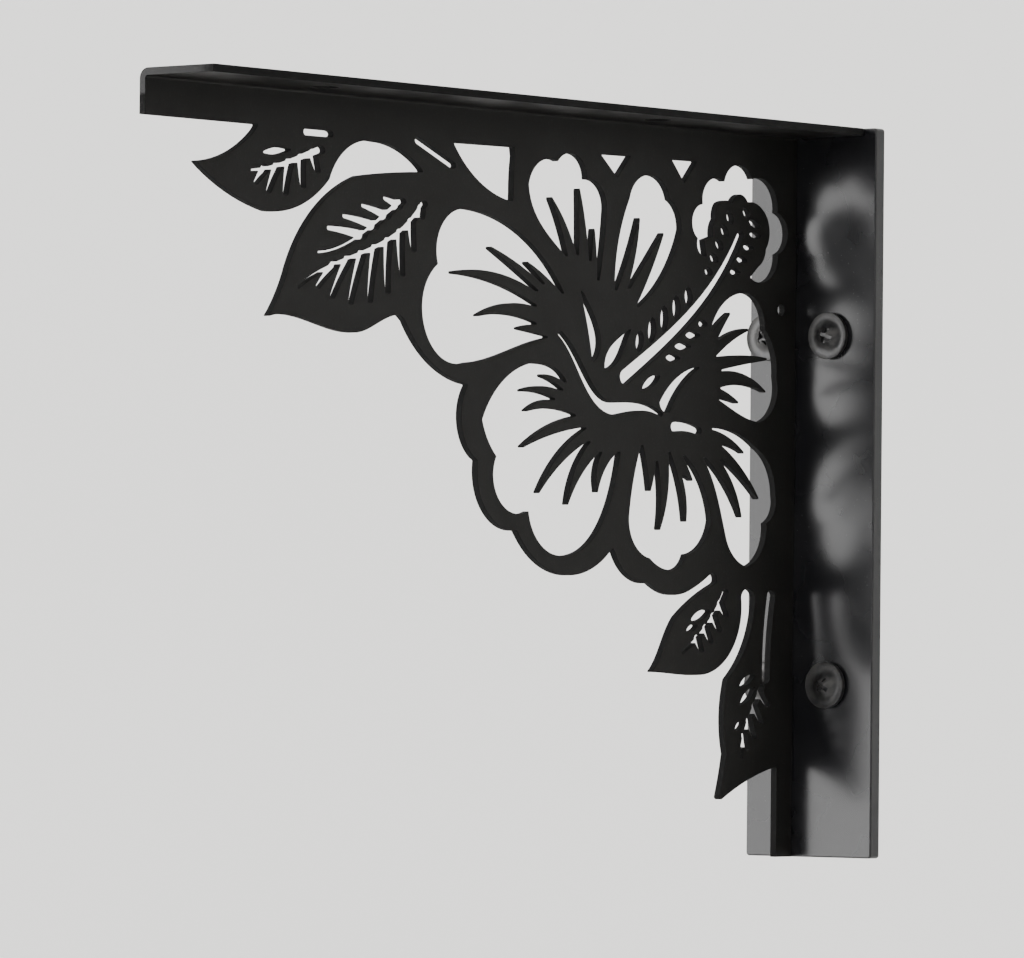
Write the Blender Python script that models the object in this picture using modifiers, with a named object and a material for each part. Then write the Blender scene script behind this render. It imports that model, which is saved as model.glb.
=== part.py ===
"""Shelf bracket: a pierced hibiscus plate folded over into a ledge, on a flat bar screwed to the wall.

+Z is up, -Y runs out from the wall, and the origin is on the wall between the screws.
"""

import math

import bmesh
import bpy
from mathutils import Vector
from mathutils.geometry import delaunay_2d_cdt

OBJECT_NAME = "shelf_bracket"
MM = 0.001

# Driving sizes, in millimetres
DEPTH = 200.0                 # from the wall to the front of the ledge
HEIGHT = 148.0
LEDGE_WIDTH = 18.5            # outside width, with the plate's own thickness
SHEET = 1.5                   # thickness of the plate and the ledge
FOLD_RADIUS = 0.5             # inside the fold
FOLD_STEPS = 4
BAR_WIDTH = 32.0
BAR_THICKNESS = 3.0
BAR_ARRIS = 0.3
ARRIS_STEPS = 2
JOINT_GAP = 0.3               # kept between pieces that touch
PLATE_LEFT = -5.5             # left face of the plate, from the middle of the bar
TOP_BAND = 8.6                # depth of the plain band under the ledge
WALL_BAND = 8.8               # front edge of the plain band along the wall, from the wall
WALL_SIDE = BAR_THICKNESS + JOINT_GAP

# Screws, in millimetres
SCREW_ROWS = {"upper": 42.0, "lower": 113.0}     # down from the top
SCREW_COLUMNS = {"right": 4.7, "left": -11.2}    # from the middle of the bar
SCREW_TURNS = {"upper_right": 20.0, "upper_left": -35.0, "lower_right": 40.0, "lower_left": 5.0}
SCREW_HOLE = 4.6
SHANK_DIAMETER = 4.0
HEAD_DIAMETER = 9.5
HEAD_HEIGHT = 2.8
HEAD_RIM = 0.9
CROWN_BEND = (20.0, 48.0)      # degrees, at the middle of the head and at its rim
RECESS_LENGTH = 5.2
RECESS_WIDTH = 1.1
RECESS_DEPTH = 1.6
ROUND_SIDES = 32
BORE_LENGTH = 4.0             # length of a boring bar, in thicknesses of what it bores

# Holes in the ledge for screws up into the shelf, in millimetres
LEDGE_HOLES_OUT = (60.0, 160.0)
LEDGE_HOLE = 5.0
LEDGE_HOLE_FROM_EDGE = 8.0

ORIGIN_DOWN = sum(SCREW_ROWS.values()) / 2.0     # the origin's distance down from the top

# How outlines are drawn, in millimetres and degrees
CHORD_ERROR = 0.1             # how far a curve's straight pieces may leave it
SHORTEST_EDGE = 0.05
STRAIGHT = 0.002              # a point nearer than this to a straight run is left out
RAY_SWELL = 2.5               # how much the two edges of a petal's ray swell
RAY_TIP = 0.5                 # width of a ray's blunt tip
GAP_END = 0.3                 # width of the round end of the gap between two rays
WINDOW_SPREAD = 0.4           # how much nearer the wall the windows and the rim are cut
CUT_SPREAD = 0.7              # the same for the slimmer cuts
FINE_TIP = 0.35               # width at the end of a pointed cut
ROUND_END = 85.0              # bend of a round end, nearly a half circle
BARB_BEND = 4.0
BARB_TIP = 0.8

# Finishes: colour, roughness and share of metal
PLATE_PAINT = ((0.012, 0.012, 0.013), 0.55, 0.0)
BAR_PAINT = ((0.01, 0.01, 0.012), 0.3, 0.0)
SCREW_FINISH = ((0.02, 0.02, 0.022), 0.45, 0.6)

# The pattern, as (out from the wall, down from the top) in millimetres. A corner's third number is how
# many degrees its side bends off the straight line to the next corner, outwards on the way round
# (front, bottom, wall, top); a fourth is the same where the side arrives, and is left out on an arc.
SILHOUETTE = (
    (DEPTH, TOP_BAND),
    (168.5, TOP_BAND, -22),                                  # leaf under the front of the ledge
    (186.3, 16.4, 12),
    (166.0, 24.8, 24),
    (148.0, 17.8, -38),
    (135.0, 9.9, -20),
    (120.8, 14.9, 3),                                        # big leaf
    (140.0, 16.7, 26),
    (160.5, 36.5, -8),
    (165.4, 44.6, -20, 6),
    (141.0, 46.7, 18, -14),
    (127.2, 42.7, 5),                                        # rim of the flower
    (126.0, 43.7, 25),
    (107.0, 55.4, 50),
    (104.0, 70.0, 52),
    (91.8, 83.4, 50),
    (61.8, 86.2, 37),
    (50.3, 93.0, 26),
    (37.5, 94.4, 6),
    (30.2, 90.7, -80),
    (29.4, 92.8, 8),                                         # leaf below the flower
    (41.5, 99.5, 12, -14),
    (49.3, 110.7, -3, 5),
    (33.5, 111.2, 48),
    (20.4, 95.3, -78),
    (16.3, 95.3, -25),                                       # leaf along the wall
    (25.0, 112.0, 17),
    (25.3, 127.0, -4),
    (27.5, 135.7, 30),
    (26.2, 136.2, -8),
    (WALL_BAND, 129.7),
    (WALL_BAND, HEIGHT),
    (WALL_SIDE, HEIGHT),
)

# Each petal is an open window: the corners of its outer rim, then for each dark ray that reaches in
# from the throat the gap before it, the ray's tip and its curl, then the last gap.
PETALS = {
    "upper_left": (
        ((65.1, 19.0, 50), (71.3, 13.6, 71), (80.0, 10.6, 50), (88.8, 15.5, 35, 14)),
        ((77.2, 28.9, 81.9, 17.9, 9), (73.8, 28.5, 73.4, 15.8, 4), (69.9, 29.5, 68.7, 23.5, 3)),
        (67.3, 33.2, 4)),
    "upper_middle": (
        ((41.3, 22.0, 36), (45.0, 16.2, 75), (57.4, 16.6, 15)),
        ((61.7, 34.9, 54.5, 20.6, 8), (57.6, 34.4, 46.9, 23.2, 3)),
        (54.8, 37.9, 21)),
    "left": (
        ((107.5, 21.4, 57), (116.0, 32.4, 80), (107.5, 51.1, 10, -4)),
        ((83.2, 45.2, 91.6, 43.8, 3), (86.7, 42.7, 104.0, 41.8, 15), (86.7, 39.2, 111.5, 33.8, 13),
         (86.3, 36.2, 100.3, 28.5, 4), (84.3, 34.7, 89.2, 30.9, 5)),
        (78.3, 36.3, 26, 24)),
    "right": (
        ((15.5, 59.8, 49), (9.9, 50.5, 27), (13.8, 40.8, 46), (20.5, 33.8, 34)),
        ((31.0, 41.9, 25.2, 38.2, -6), (28.7, 43.5, 19.2, 41.2, -11), (29.0, 46.9, 12.9, 46.9, -4),
         (27.3, 49.7, 13.3, 53.5, -18), (27.6, 53.3, 22.2, 56.0, -5)),
        (28.0, 55.6, 4, 12)),
    "lower_left": (
        ((88.0, 50.6, 27), (102.3, 62.0, 16), (97.9, 69.0, 72), (88.0, 79.3, 43), (77.5, 88.0, 48, 30)),
        ((60.3, 67.2, 66.9, 75.0, 25), (66.0, 67.4, 76.1, 77.7, 18), (69.7, 65.4, 85.0, 75.7, 15),
         (71.0, 62.7, 90.0, 66.9, 10), (74.3, 60.3, 89.0, 59.8, 16), (80.8, 57.3, 90.4, 55.9, 12),
         (78.3, 55.4, 84.3, 52.8, 12)),
        (77.2, 53.8, 36, 18)),
    "lower_middle": (
        ((56.7, 80.0, 42), (50.0, 88.0, 42, 62), (38.8, 87.0, 38), (30.9, 80.0, 25)),
        ((39.6, 67.4, 36.9, 72.0, -4), (39.8, 71.3, 38.8, 80.2, -15), (44.3, 66.8, 47.1, 82.0, -16),
         (48.3, 68.7, 50.2, 74.3, -8)),
        (53.0, 65.7, 8)),
    "lower_right": (
        ((25.5, 83.5, 29), (19.0, 89.1, 42), (12.9, 80.2, 44), (9.9, 74.5, 34), (16.5, 65.0, 18)),
        ((30.2, 61.6, 20.3, 66.1, -12), (26.9, 64.9, 15.4, 75.2, -10), (27.6, 67.8, 20.9, 79.0, -16)),
        (33.0, 67.6, -18, -6)),
}

# Scalloped opening round the pollen head, whose own outline is its inner side
POLLEN_OPENING = (
    (18.4, 30.5, 64), (9.8, 25.4, 77), (10.0, 17.0, 60), (18.3, 10.7, 72), (27.1, 11.8, 68),
    (34.0, 16.5, 72), (35.5, 23.4, 60), (33.1, 26.9, -4), (33.9, 23.6), (31.2, 22.8, -25),
    (30.2, 19.2, -25), (29.2, 15.9, -22), (24.8, 15.6, -62), (19.4, 15.3, -25), (14.4, 16.6, -46),
    (13.3, 24.6, -30), (15.6, 28.2),
)

# Plain cuts with corners: the gaps under the band, then the cuts in the throat
CORNERED_CUTS = (
    ((111.7, 8.7, 23), (94.2, 19.1, -8), (93.5, 8.5)),
    ((66.6, 8.3), (61.4, 12.6), (57.8, 8.2)),
    ((44.1, 8.1), (40.1, 12.5), (36.6, 8.0)),
    ((72.7, 35.4, -6), (68.6, 49.6, 60, 22)),
    ((57.0, 42.5, 12, 48), (64.8, 50.8, 45, 5)),
    ((34.5, 49.2, 24), (47.3, 56.8, 45), (44.9, 58.8, -18)),
)

# Ribbon cuts: start, end, width at the start, width at the end, bend away, bend back
RIBBON_CUTS = (
    ((122.6, 8.9), (112.2, 13.1), 1.3, 1.3, 0.0, 0.0),       # stem of the big leaf
    ((155.0, 9.2), (148.4, 9.2), 1.3, 1.3, 0.0, 0.0),        # dash above the front leaf
    ((79.0, 44.3), (61.5, 58.6), 0.9, 2.4, -8.0, 40.0),      # long line across the throat
    ((61.9, 58.6), (46.8, 59.4), 2.4, 0.6, -8.0, -24.0),
    ((42.8, 61.6), (35.2, 62.1), 1.9, 1.5, -12.0, -12.0),
    ((58.6, 52.2), (22.0, 22.1), 2.9, 1.5, 9.0, 20.0),      # stamen, from the throat to the pollen head
    ((10.9, 94.8), (12.5, 112.0), 2.0, 1.8, 6.0, 6.0),       # stalk of the wall leaf
)

# Rows of slim cuts: first middle, last middle, count, length at the first, at the last and extra
# halfway, heading of the first and the last (degrees from straight down), width
SLIM_ROWS = (
    ((54.2, 44.9), (38.7, 35.3), 5, (4.4, 4.1, 1.2), (8.0, -4.0), 1.7),
    ((43.5, 47.8), (34.0, 40.6), 4, (4.2, 2.2, 1.6), (90.0, 86.0), 1.4),
    ((32.3, 30.0), (25.5, 18.7), 5, (1.9, 2.9, 0.3), (-60.0, -20.0), 1.4),
    ((23.6, 29.7), (17.1, 21.9), 4, (2.9, 3.4, -0.1), (90.0, 96.0), 1.2),
    ((17.4, 19.6), (20.1, 17.5), 2, (3.4, 2.6, 0.0), (112.0, 140.0), 1.3),
)

# Single slim cuts: start, end, width
SLIM_CUTS = (
    ((53.0, 54.3), (47.8, 51.5), 1.8),
    ((167.4, 13.8), (159.4, 12.8), 1.3),
    ((36.8, 100.2), (31.0, 98.2), 1.8),
    ((38.2, 102.3), (35.0, 101.2), 1.2),
    ((20.8, 113.4), (16.2, 111.0), 1.6),
    ((20.6, 117.2), (16.2, 113.6), 1.7),
    ((22.2, 122.3), (19.8, 120.5), 1.3),
)

# Leaf veins with a row of barbs. The line is start, end, bend away, bend back and width at the end.
# Barbs stand on the given span of it; their lean is in degrees from straight down towards the leaf's
# tip, at the first, at the last and extra halfway, and their length is greatest at the peak and falls
# to nothing at the reach on either side of it.
VEINS = (
    {"line": ((170.4, 17.3), (150.8, 12.4), 10.0, 4.0, 1.5), "count": 5, "span": (0.18, 0.88),
     "lean": (42.0, -22.0, 0.0), "longest": 6.0, "peak": 0.53, "reach": 0.55, "root": 1.8},
    {"line": ((151.2, 31.8), (127.0, 20.9), 22.0, 6.0, 1.3), "count": 4, "span": (0.5, 0.95),
     "lean": (95.0, 106.0, 0.0), "longest": 9.8, "peak": 0.45, "reach": 0.65, "root": 2.0},
    {"line": ((157.0, 38.8), (120.6, 21.0), -8.0, 26.0, 1.3), "count": 8, "span": (0.28, 0.97),
     "lean": (47.0, -8.0, -16.0), "longest": 10.3, "peak": 0.56, "reach": 0.45, "root": 1.8},
    {"line": ((39.6, 106.9), (25.9, 94.4), 12.0, 18.0, 1.1), "count": 4, "span": (0.3, 0.85),
     "lean": (-30.0, -38.0, 0.0), "longest": 3.4, "peak": 0.6, "reach": 0.7, "root": 1.6},
    {"line": ((20.3, 127.9), (13.7, 113.4), -22.0, -2.0, 1.0), "count": 4, "span": (0.3, 0.92),
     "lean": (-20.0, -44.0, 0.0), "longest": 3.9, "peak": 0.7, "reach": 0.8, "root": 1.5},
)

HANGING_HOLE = (8.1, 36.7, 2.3)                              # out, down, diameter


def clear_scene():
    """Removes whatever the scene held before."""
    for scene_object in list(bpy.data.objects):
        bpy.data.objects.remove(scene_object, do_unlink=True)


def new_collection(name):
    """A collection of the scene."""
    collection = bpy.data.collections.new(name)
    bpy.context.scene.collection.children.link(collection)
    return collection


def new_material(name, color, roughness, metallic):
    """A plain painted or plated surface."""
    material = bpy.data.materials.new(name)
    material.use_nodes = True
    shader = material.node_tree.nodes["Principled BSDF"]
    shader.inputs["Base Color"].default_value = (*color, 1.0)
    shader.inputs["Roughness"].default_value = roughness
    shader.inputs["Metallic"].default_value = metallic
    return material


def bend_handles(start, end, leave, arrive):
    """The two middle control points of a bent side."""
    run = Vector(end) - Vector(start)
    heading = math.atan2(run.y, run.x)
    handles = []
    for base, sign, bend in ((start, 1.0, leave), (end, -1.0, arrive)):
        angle = heading - sign * math.radians(bend)
        reach = run.length / 3.0 / math.cos(math.radians(bend) / 2.0) ** 2
        handles.append(Vector(base) + sign * reach * Vector((math.cos(angle), math.sin(angle))))
    return handles


def bend_point(start, end, leave, arrive, share):
    """The point at a share of the way along a bent side."""
    first, second = bend_handles(start, end, leave, arrive)
    rest = 1.0 - share
    point = rest ** 3 * Vector(start) + share ** 3 * Vector(end)
    return point + 3.0 * rest * share * (rest * first + share * second)


def bent_side(start, end, leave=0.0, arrive=None):
    """Points of a bent side, from its start up to but not including its end."""
    if arrive is None:
        arrive = leave
    length = math.dist(start, end)
    turn = math.radians(abs(leave) + abs(arrive))
    pieces = max(1, math.ceil(math.sqrt(length * turn / (8.0 * CHORD_ERROR))))
    return [bend_point(start, end, leave, arrive, step / pieces) for step in range(pieces)]


def closed_outline(corners):
    """Outline through corners of (out, down, bend away, bend back)."""
    points = []
    for index, corner in enumerate(corners):
        following = corners[(index + 1) % len(corners)]
        points += bent_side(corner[:2], following[:2], *corner[2:])
    return points


def petal_window(rim, rays, last_gap):
    """Outline of a petal's window: its lobed rim, then in and out along each dark ray."""
    corners = list(rim)
    gaps = [Vector(ray[:2]) for ray in rays] + [Vector(last_gap[:2])]
    for gap, next_gap, (_, _, *tip, curl) in zip(gaps, gaps[1:], rays):
        run = (Vector(tip) - (gap + next_gap) / 2.0).normalized()
        across = Vector((-run.y, run.x))
        gap_step = across * GAP_END / 2.0
        tip_step = across * (RAY_TIP + WINDOW_SPREAD * abs(run.y)) / 2.0
        corners.append((*(gap + gap_step), ROUND_END))
        corners.append((*(gap - gap_step), curl - RAY_SWELL))
        corners.append((*(Vector(tip) + tip_step), -ROUND_END))
        corners.append((*(Vector(tip) - tip_step), -curl - RAY_SWELL))
    corners.append((*(next_gap + gap_step), ROUND_END))
    corners.append((*(next_gap - gap_step), *last_gap[2:]))
    return closed_outline(corners)


def ribbon(start, end, start_width, end_width, leave=0.0, arrive=0.0):
    """Outline of a bent ribbon with round ends, its width changing evenly."""
    spine = bent_side(start, end, leave, arrive) + [Vector(end)]
    left_edge = []
    right_edge = []
    for index, point in enumerate(spine):
        run = spine[min(index + 1, len(spine) - 1)] - spine[max(index - 1, 0)]
        share = index / (len(spine) - 1)
        half_width = (start_width + (end_width - start_width) * share) / 2.0
        across = Vector((-run.y, run.x)).normalized() * half_width
        left_edge.append(point - across)
        right_edge.append(point + across)
    right_edge.reverse()
    outline = []
    for edge, following in ((left_edge, right_edge), (right_edge, left_edge)):
        outline += edge
        if math.dist(edge[-1], following[0]) > 2.0 * FINE_TIP:
            outline += bent_side(edge[-1], following[0], ROUND_END)[1:]
    return outline


def slim_cut(start, end, width):
    """Outline of a slim pointed cut, widest in the middle."""
    bend = math.degrees(2.0 * math.atan(width / math.dist(start, end)))
    return closed_outline(((*start, bend), (*end, bend)))


def varied(first, last, extra, share):
    """A value that changes evenly from first to last, with an extra amount halfway."""
    return first + (last - first) * share + extra * 4.0 * share * (1.0 - share)


def slim_row(first, last, count, lengths, headings, width):
    """Outlines of a row of slim cuts."""
    outlines = []
    for index in range(count):
        share = index / (count - 1)
        middle = Vector(first).lerp(Vector(last), share)
        angle = math.radians(varied(*headings, 0.0, share))
        half_run = Vector((math.sin(angle), math.cos(angle))) * varied(*lengths, share) / 2.0
        outlines.append(slim_cut(middle - half_run, middle + half_run, width))
    return outlines


def barbed_vein(line, count, span, lean, longest, peak, reach, root):
    """Outlines of a vein and of the barbs along it."""
    start, end, leave, arrive, end_width = line
    outlines = [ribbon(start, end, FINE_TIP, end_width, leave, arrive)]
    for index in range(count):
        share = index / (count - 1)
        place = varied(*span, 0.0, share)
        foot = bend_point(start, end, leave, arrive, place)
        length = longest * (1.0 - ((place - peak) / reach) ** 2)
        angle = math.radians(varied(*lean, share))
        tip = foot + length * Vector((math.sin(angle), math.cos(angle)))
        outlines.append(ribbon(foot, tip, root, BARB_TIP, BARB_BEND, BARB_BEND))
    return outlines


def all_cuts():
    """Outlines of everything that is cut out of the plate."""
    windows = [petal_window(*petal) for petal in PETALS.values()]
    windows.append(closed_outline(POLLEN_OPENING))
    moved = [[point - Vector((WINDOW_SPREAD, 0.0)) for point in outline] for outline in windows]
    widened = [spread(outline, WINDOW_SPREAD, -1.0) for outline in windows]
    cuts = [closed_outline(corners) for corners in CORNERED_CUTS]
    cuts += [ribbon(*values) for values in RIBBON_CUTS]
    cuts += [slim_cut(*values) for values in SLIM_CUTS]
    for row in SLIM_ROWS:
        cuts += slim_row(*row)
    for vein in VEINS:
        cuts += barbed_vein(**vein)
    hole_out, hole_down, hole_diameter = HANGING_HOLE
    side_to_side = (hole_out - hole_diameter / 2.0, hole_down), (hole_out + hole_diameter / 2.0, hole_down)
    hole = closed_outline([(*point, 90.0) for point in side_to_side])
    cuts = [spread(outline, CUT_SPREAD, -1.0) for outline in cuts]
    return windows + moved + widened + cuts + [hole]


def spread(outline, amount, facing):
    """The outline with its sides that face out (1) or the wall (-1) moved towards the wall."""
    outline = wound_left(outline)
    moved = []
    for index, point in enumerate(outline):
        run = outline[(index + 1) % len(outline)] - outline[index - 1]
        share = max(facing * run.y / run.length, 0.0)
        moved.append(Vector((point.x - amount * share, point.y)))
    return moved


def plate_outline(top):
    """Outline of the plate from the given level down, its curved rim cut back like the windows."""
    outline = [Vector((WALL_SIDE, top)), Vector((DEPTH, top))] + closed_outline(SILHOUETTE)
    moved = spread(outline, WINDOW_SPREAD, 1.0)
    pairs = zip(wound_left(outline), moved)
    return [new if old.y > TOP_BAND and WALL_BAND < old.x < DEPTH else old for old, new in pairs]


def wound_left(outline):
    """The outline with its inside on the left of the way round."""
    area = sum(a.x * b.y - b.x * a.y for a, b in zip(outline, outline[1:] + outline[:1]))
    return outline if area > 0.0 else outline[::-1]


def pierced_rings(silhouette, cuts):
    """Closed rings of points round what the cuts, which may overlap, leave of the silhouette."""
    points = []
    faces = []
    for outline in [silhouette] + cuts:
        faces.append(list(range(len(points), len(points) + len(outline))))
        points += wound_left(outline)
    corners, _, triangles, _, _, covers = delaunay_2d_cdt(points, [], faces, 1, SHORTEST_EDGE / 10.0)
    sides = set()
    for triangle, cover in zip(triangles, covers):
        if set(cover) == {0}:
            sides.update(zip(triangle, triangle[1:] + triangle[:1]))
    following = {}
    for start, end in sorted(sides):
        if (end, start) not in sides:
            following.setdefault(start, []).append(end)
    rings = []
    while following:
        corner = next(iter(following))
        ring = []
        while corner in following:
            ring.append(corners[corner])
            ends = following[corner]
            step = ends.pop()
            if not ends:
                del following[corner]
            corner = step
        rings.append(simplified(ring))
    return rings


def simplified(ring):
    """The ring without points that crowd the one before or lie on a straight run."""
    kept = [ring[0]]
    for point in ring[1:]:
        if (point - kept[-1]).length > SHORTEST_EDGE:
            kept.append(point)
    if (kept[-1] - kept[0]).length < SHORTEST_EDGE:
        kept.pop()
    neighbours = zip(kept[-1:] + kept[:-1], kept, kept[1:] + kept[:1])
    return [point for before, point, after in neighbours if off_line(before, point, after) > STRAIGHT]


def off_line(before, point, after):
    """How far a point stands off the straight line between two others."""
    run = (after - before).normalized()
    step = point - before
    return abs(run.x * step.y - run.y * step.x)


def flat_sheet(name, rings, thickness):
    """A flat sheet with the given rings as its edges, upright along the bracket, as a mesh object."""
    curve = bpy.data.curves.new(name, "CURVE")
    curve.dimensions = "2D"
    curve.fill_mode = "BOTH"
    curve.extrude = thickness * MM / 2.0
    for ring in rings:
        spline = curve.splines.new("POLY")
        spline.points.add(len(ring) - 1)
        for spline_point, (out, down) in zip(spline.points, ring):
            spline_point.co = (out * MM, (ORIGIN_DOWN - down) * MM, 0.0, 1.0)
        spline.use_cyclic_u = True
    drawn = bpy.data.objects.new(name + "_outline", curve)
    bpy.context.scene.collection.objects.link(drawn)
    drawn.rotation_euler = (math.pi / 2.0, 0.0, -math.pi / 2.0)
    sheet = as_mesh_object(drawn, name)
    weld(sheet.data)
    return sheet


def as_mesh_object(source, name):
    """A mesh object made from the evaluated source, which is removed."""
    bpy.context.view_layer.update()
    depsgraph = bpy.context.evaluated_depsgraph_get()
    mesh = bpy.data.meshes.new_from_object(source.evaluated_get(depsgraph))
    mesh.name = name
    made = bpy.data.objects.new(name, mesh)
    made.matrix_world = source.matrix_world
    bpy.data.objects.remove(source, do_unlink=True)
    return made


def weld(mesh):
    """Joins the caps of a filled curve to its sides."""
    work = bmesh.new()
    work.from_mesh(mesh)
    bmesh.ops.remove_doubles(work, verts=work.verts, dist=0.001 * MM)
    work.to_mesh(mesh)
    work.free()


def fold_top_edge(sheet):
    """Rolls the sheet's top edge over by a quarter turn and runs it on to the right as the ledge."""
    work = bmesh.new()
    work.from_mesh(sheet.data)
    top_face = max(work.faces, key=lambda face: face.calc_center_median().y * face.normal.y)
    fold_height = top_face.calc_center_median().y
    fold_centre = Vector((0.0, fold_height, -(SHEET / 2.0 + FOLD_RADIUS) * MM))
    along_ledge = Vector((1.0, 0.0, 0.0))
    rolled = bmesh.ops.spin(work, geom=[top_face], cent=fold_centre, axis=along_ledge,
                            dvec=Vector(), angle=-math.pi / 2.0, steps=FOLD_STEPS)
    end_face = [part for part in rolled["geom_last"] if isinstance(part, bmesh.types.BMFace)][0]
    run_on = bmesh.ops.extrude_face_region(work, geom=[end_face])
    moved = [part for part in run_on["geom"] if isinstance(part, bmesh.types.BMVert)]
    ledge_run = (LEDGE_WIDTH - SHEET - FOLD_RADIUS) * MM
    bmesh.ops.translate(work, verts=moved, vec=Vector((0.0, 0.0, -ledge_run)))
    bmesh.ops.delete(work, geom=[top_face, end_face], context="FACES_ONLY")
    work.to_mesh(sheet.data)
    work.free()


def cut_away(target, cutter):
    """Cuts the cutter out of the target."""
    modifier = target.modifiers.new("cut " + cutter.name, "BOOLEAN")
    modifier.operation = "DIFFERENCE"
    modifier.solver = "EXACT"
    modifier.object = cutter


def round_cutter(name, diameter, length, location, rotation, collection):
    """A round bar that bores a hole."""
    bpy.ops.mesh.primitive_cylinder_add(vertices=ROUND_SIDES, radius=diameter * MM / 2.0,
                                        depth=length * MM, location=location, rotation=rotation)
    return as_cutter(bpy.context.object, name, collection)


def as_cutter(cutter, name, collection):
    """Names the cutter and keeps it out of sight."""
    cutter.name = name
    move_to(cutter, collection)
    cutter.hide_render = True
    cutter.display_type = "WIRE"
    return cutter


def move_to(scene_object, collection):
    """Moves an object into one collection."""
    for holder in list(scene_object.users_collection):
        holder.objects.unlink(scene_object)
    collection.objects.link(scene_object)


def place(right, out, down):
    """World position of a point of the bracket given in millimetres."""
    return Vector((right * MM, -out * MM, (ORIGIN_DOWN - down) * MM))


def make_flower_plate(parts, cutters, material):
    """The pierced sheet, its top folded over into the ledge."""
    fold_start = SHEET + FOLD_RADIUS
    plate = flat_sheet("flower_plate", pierced_rings(plate_outline(fold_start), all_cuts()), SHEET)
    plate.location.x = (PLATE_LEFT + SHEET / 2.0) * MM
    fold_top_edge(plate)
    parts.objects.link(plate)
    plate.data.materials.append(material)
    ledge_right = PLATE_LEFT + LEDGE_WIDTH
    for out in LEDGE_HOLES_OUT:
        middle = place(ledge_right - LEDGE_HOLE_FROM_EDGE, out, SHEET / 2.0)
        cut_away(plate, round_cutter("ledge_bore", LEDGE_HOLE, BORE_LENGTH * SHEET, middle,
                                     (0.0, 0.0, 0.0), cutters))
    return plate


def make_wall_bar(parts, cutters, material):
    """The flat bar against the wall, with its four screw holes."""
    bpy.ops.mesh.primitive_cube_add(size=1.0, location=place(0.0, BAR_THICKNESS / 2.0, HEIGHT / 2.0))
    bar = bpy.context.object
    bar.name = "wall_bar"
    bar.scale = (BAR_WIDTH * MM, BAR_THICKNESS * MM, HEIGHT * MM)
    bpy.ops.object.transform_apply(location=False, rotation=False, scale=True)
    move_to(bar, parts)
    bar.data.materials.append(material)
    arris = bar.modifiers.new("softened edges", "BEVEL")
    arris.width = BAR_ARRIS * MM
    arris.segments = ARRIS_STEPS
    for right, down, _ in screw_places():
        middle = place(right, BAR_THICKNESS / 2.0, down)
        cut_away(bar, round_cutter("screw_bore", SCREW_HOLE, BORE_LENGTH * BAR_THICKNESS, middle,
                                   (math.pi / 2.0, 0.0, 0.0), cutters))
    return bar


def screw_places():
    """Right, down and name of each screw."""
    places = []
    for row, down in SCREW_ROWS.items():
        for column, right in SCREW_COLUMNS.items():
            places.append((right, down, row + "_" + column))
    return places


def screw_profile():
    """Half section of a screw, from the middle of its crown down its outer side to the shank's end."""
    head_radius = HEAD_DIAMETER / 2.0
    shank_radius = SHANK_DIAMETER / 2.0
    crown = bent_side((0.0, HEAD_HEIGHT), (head_radius, HEAD_RIM), *CROWN_BEND)
    shank_end = -BAR_THICKNESS
    corners = ((head_radius, HEAD_RIM), (head_radius, 0.0), (shank_radius, 0.0),
               (shank_radius, shank_end), (0.0, shank_end))
    return crown + [Vector(corner) for corner in corners]


def make_screws(parts, cutters, material):
    """Four pan-head screws with a cross recess."""
    profile = bpy.data.meshes.new("screw_profile")
    points = [(point.x * MM, 0.0, point.y * MM) for point in screw_profile()]
    profile.from_pydata(points, [(index, index + 1) for index in range(len(points) - 1)], [])
    turned = bpy.data.objects.new("screw", profile)
    parts.objects.link(turned)
    turning = turned.modifiers.new("turned", "SCREW")
    turning.steps = ROUND_SIDES
    turning.render_steps = ROUND_SIDES
    turning.use_merge_vertices = True
    turning.merge_threshold = 0.001 * MM
    for turn in (0.0, math.pi / 2.0):
        bpy.ops.mesh.primitive_cube_add(size=1.0, location=(0.0, 0.0, HEAD_HEIGHT * MM),
                                        rotation=(0.0, 0.0, turn))
        blade = as_cutter(bpy.context.object, "recess_blade", cutters)
        blade.scale = (RECESS_LENGTH * MM, RECESS_WIDTH * MM, 2.0 * RECESS_DEPTH * MM)
        cut_away(turned, blade)
    screw_mesh = as_mesh_object(turned, "screw").data
    screw_mesh.materials.append(material)
    for right, down, name in screw_places():
        screw = bpy.data.objects.new("screw_" + name, screw_mesh)
        parts.objects.link(screw)
        screw.location = place(right, WALL_SIDE, down)
        screw.rotation_euler = (math.pi / 2.0, math.radians(SCREW_TURNS[name]), 0.0)


def main():
    """Builds the bracket."""
    clear_scene()
    parts = new_collection(OBJECT_NAME)
    cutters = new_collection("cutters")
    plate_paint = new_material("black_powder_coat", *PLATE_PAINT)
    bar_paint = new_material("black_gloss_paint", *BAR_PAINT)
    screw_finish = new_material("black_screw_finish", *SCREW_FINISH)
    make_flower_plate(parts, cutters, plate_paint)
    make_wall_bar(parts, cutters, bar_paint)
    make_screws(parts, cutters, screw_finish)


main()
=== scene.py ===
"""Looks of the shelf bracket: fine meshes of the pierced plate, the flat bar and the screws, with finishes.

The outlines repeat the part's own named values, in millimetres, as (out from the wall, down from the top).
"""

import math
from bisect import bisect_right

import bmesh
import bpy
from mathutils import Euler, Matrix, Vector
from mathutils.geometry import delaunay_2d_cdt


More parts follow.
